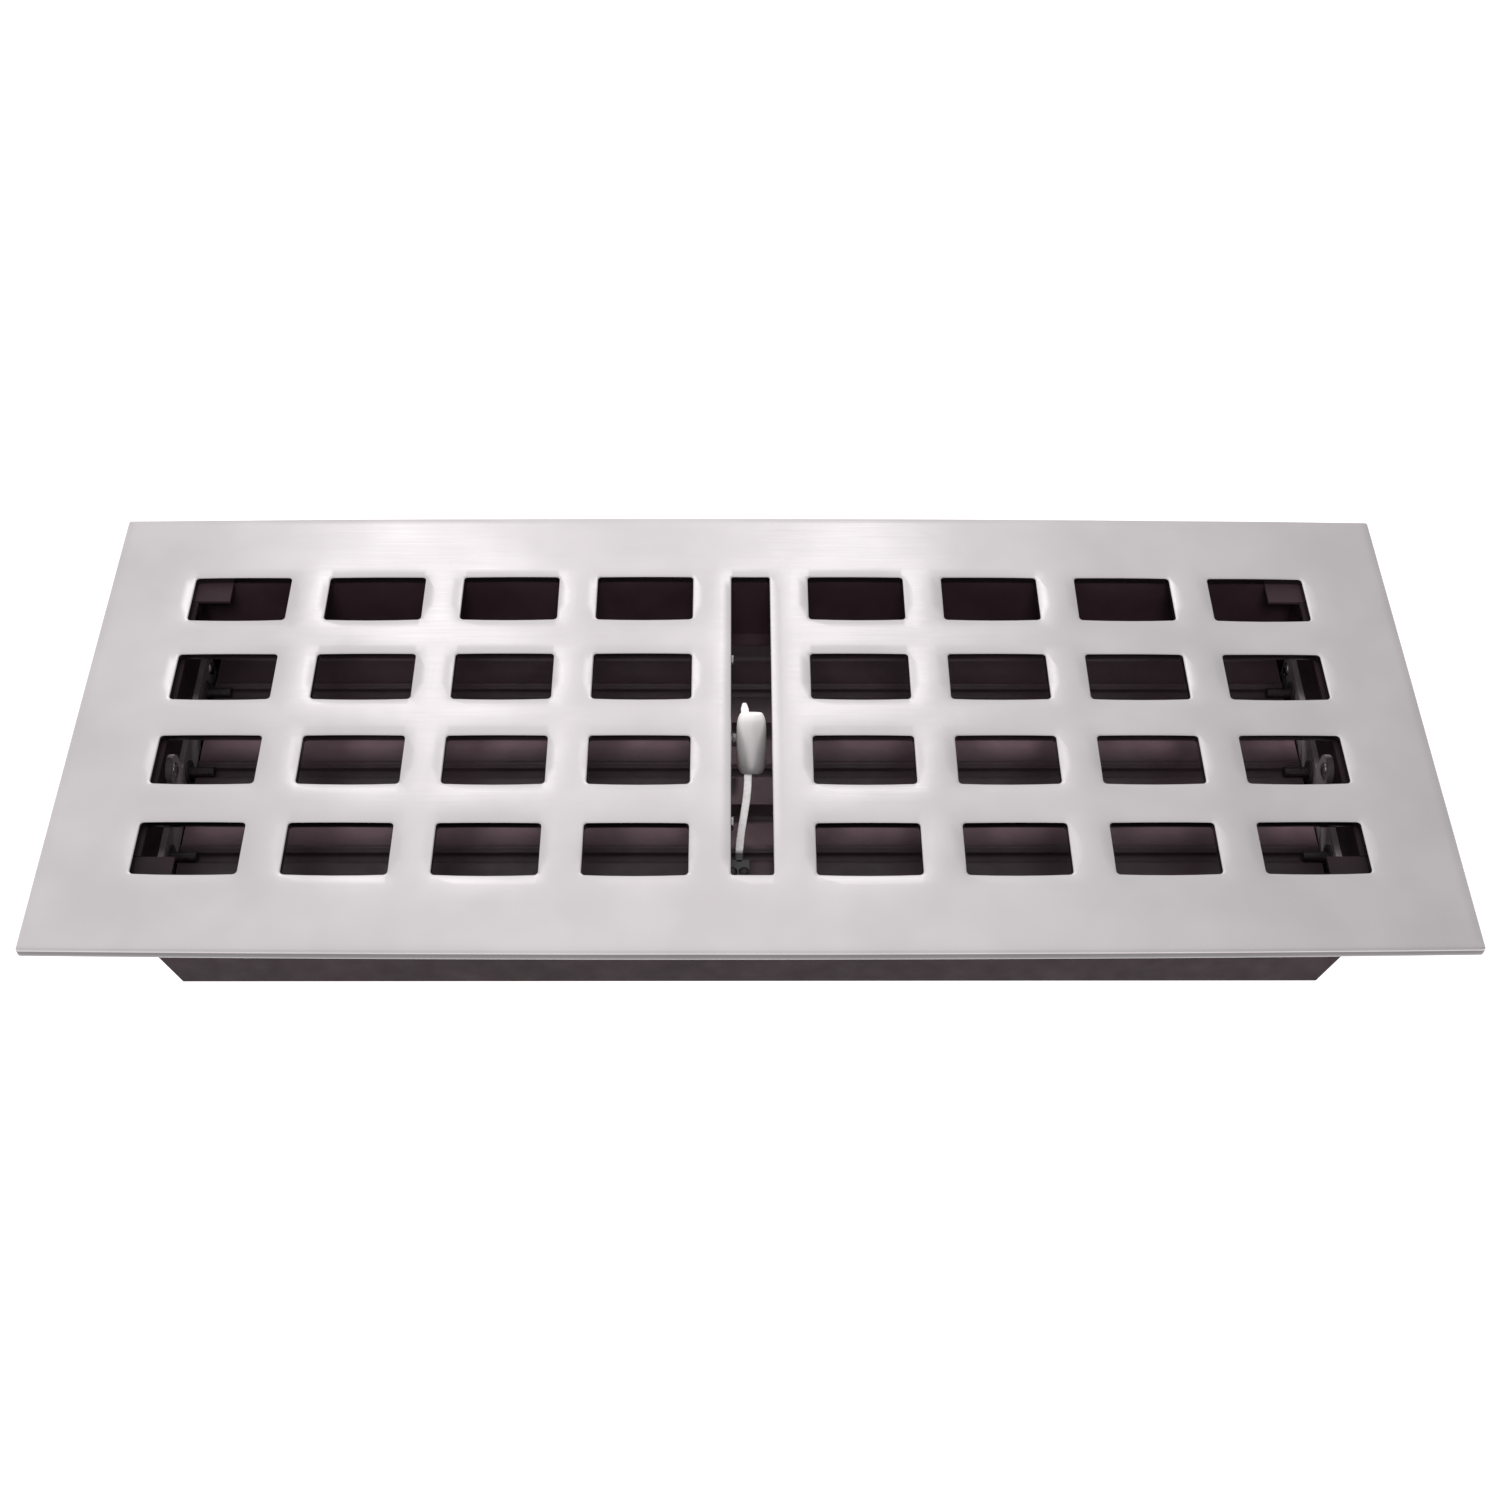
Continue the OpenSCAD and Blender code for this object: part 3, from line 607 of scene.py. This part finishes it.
def crank_tab(bm, y0):
    """Tab bent up beside the notch, rounded round the link pin."""
    at = Vector((0, y0 + CRANK_Y, AXIS_Z + CRANK_Z))
    rim = [bm.verts.new(at + Vector((TAB_X, math.cos(t) * TAB_R, math.sin(t) * TAB_R)))
           for t in [math.pi * i / 12 for i in range(13)]]
    rim += [bm.verts.new((TAB_X, y0 + y * MM, AXIS_Z - BLADE_T / 2)) for y in (4, 9)]
    face = bm.faces.new(rim)
    made = bmesh.ops.extrude_face_region(bm, geom=[face], use_keep_orig=True)
    verts = [g for g in made["geom"] if isinstance(g, bmesh.types.BMVert)]
    bmesh.ops.translate(bm, verts=verts, vec=(BLADE_T, 0, 0))


# ---------------------------------------------------------------- CAD pieces that keep their shape
def dress(node, material):
    """Gives a CAD node its finish."""
    target = bpy.data.objects[node]
    target.data.materials.clear()
    target.data.materials.append(material)


def sheet_metal():
    """Finishes of the CAD pieces that are not replaced."""
    for node in ("front_wall", "rear_wall", "left_end_wall", "right_end_wall",
                 "front_stop_strip", "rear_stop_strip"):
        dress(node, BOX)
    for node in ("left_pivot_rail", "right_pivot_rail", "link_bar"):
        dress(node, RAIL)
    for node in ("front_pivot_pins", "middle_pivot_pins", "rear_pivot_pins"):
        dress(node, DULL_ZINC)
    for node in ("mounting_screws", "front_link_pin", "middle_link_pin", "rear_link_pin"):
        dress(node, ZINC)
    for node in ("front_link_clip", "middle_link_clip", "rear_link_clip"):
        dress(node, SPRING)
    dress("pivot_bushes", NYLON)


# ---------------------------------------------------------------- studio
def stage_plane(name, size, height, colour, glow):
    """Square card for the set, lying flat, with a glow of its own."""
    bm = bmesh.new()
    bmesh.ops.create_grid(bm, x_segments=1, y_segments=1, size=1)
    for v in bm.verts:
        v.co = (v.co.x * size[0], v.co.y * size[1], height)
    mesh = bpy.data.meshes.new(name)
    bm.to_mesh(mesh)
    bm.free()
    card = bpy.data.objects.new(name, mesh)
    bpy.context.scene.collection.objects.link(card)
    made, _, shader, _ = start(name)
    shader.inputs["Base Color"].default_value = srgb(colour)
    shader.inputs["Roughness"].default_value = 0.9
    shader.inputs["Emission Color"].default_value = srgb("#fffcfc")
    shader.inputs["Emission Strength"].default_value = glow
    mesh.materials.append(made)


def studio():
    """White glowing floor with a dark card under the box, painted shade that keeps the floor's glow
    out of the box, a surround that is bright behind and dim in front and to the right, and two soft
    lights behind. Three more lamps light only pieces inside the box: two the blades, rails and link,
    and one the rear wall, rear stop strip and lever. They stand for no real light. The inside would be
    darker without them."""
    stage_plane("studio_floor", (15, 15), 0, "#c8c5c5", 0.95)
    # dark card inside the box's footprint: painted shade that keeps the glowing floor from lighting the
    # inside of the box
    stage_plane("duct_mouth", (0.146, 0.048), 0.0004, "#141213", 0)
    world = bpy.data.worlds.new("white_surround")
    bpy.context.scene.world = world
    world.use_nodes = True
    tree = world.node_tree
    sky = tree.nodes["Background"]
    sky.inputs["Color"].default_value = srgb("#fffdfd")
    way = add(tree, "ShaderNodeSeparateXYZ",
              links={"Vector": add(tree, "ShaderNodeTexCoord").outputs["Generated"]})
    strength = fade(tree, way.outputs["X"], 0.0, 0.42, 1.1, 0.68)
    for axis, start_at, end_at, low in (("X", -0.35, -0.05, 0.86), ("Y", 0.0, 0.42, 0.85)):
        both = add(tree, "ShaderNodeMath", {"operation": "MULTIPLY"})
        tree.links.new(strength, both.inputs[0])
        tree.links.new(fade(tree, way.outputs[axis], start_at, end_at, low, 1.0), both.inputs[1])
        strength = both.outputs["Value"]
    tree.links.new(strength, sky.inputs["Strength"])
    soft_light("soft_left", -18, 47, (0.18, 0.36), 0.185)
    soft_light("soft_right", 6, 48, (0.16, 0.34), 0.15)
    blades, walls = [bpy.data.collections.new(name) for name in ("lit_blades", "lit_from_front")]
    for made in bpy.data.objects:
        if made.name.startswith(("rear_wall", "rear_stop", "lever_bent")):
            walls.objects.link(made)
        elif made.name.startswith(("front_", "middle_", "rear_", "left_pivot", "right_pivot", "lever_",
                                   "link_")) and not made.name.endswith(("_wall", "_strip")):
            blades.objects.link(made)
    for name, turn in (("through_left", -18), ("through_right", 5)):
        inner_light(name, turn, 41, (0.2, 0.16), 20, blades)
    inner_light("wall_fill", 180, 60, (0.5, 0.4), 18, walls)


def soft_light(name, turn, lift, size, power):
    """Area light aimed at the register from a bearing and a height in degrees."""
    lamp = bpy.data.lights.new(name, "AREA")
    lamp.shape = "RECTANGLE"
    lamp.size, lamp.size_y = size
    lamp.energy = power
    holder = bpy.data.objects.new(name, lamp)
    bpy.context.scene.collection.objects.link(holder)
    a, e = math.radians(turn), math.radians(lift)
    way = Vector((math.sin(a) * math.cos(e), math.cos(a) * math.cos(e), math.sin(e)))
    holder.location = way * 1.5
    holder.rotation_euler = way.to_track_quat("Z", "Y").to_euler()
    return holder


def inner_light(name, turn, lift, size, power, receivers):
    """Light that only the pieces in receivers take up, without a mirror image."""
    holder = soft_light(name, turn, lift, size, power)
    holder.light_linking.receiver_collection = receivers
    holder.visible_glossy = False


def camera():
    """View from above the front edge, 52.9 degrees down."""
    lens = bpy.data.cameras.new("view_camera")
    lens.lens = LENS
    lens.sensor_width = 36
    lens.clip_start, lens.clip_end = 0.01, 20
    holder = bpy.data.objects.new("view_camera", lens)
    bpy.context.scene.collection.objects.link(holder)
    turn, lift, roll = [math.radians(a) for a in (VIEW_TURN, 90 - VIEW_DROP, VIEW_ROLL)]
    aim = Matrix.Rotation(turn, 4, "Z") @ Matrix.Rotation(lift, 4, "X") @ Matrix.Rotation(roll, 4, "Z")
    holder.matrix_world = Matrix.Translation(VIEW_AT) @ aim
    bpy.context.scene.camera = holder
    bpy.context.scene.view_settings.view_transform = "Standard"


camera()
faceplate()
lever_knob()
lever_strip()
all_rivets()
link_spring()
for part in ("front", "middle", "rear"):
    blade(part)
sheet_metal()
studio()
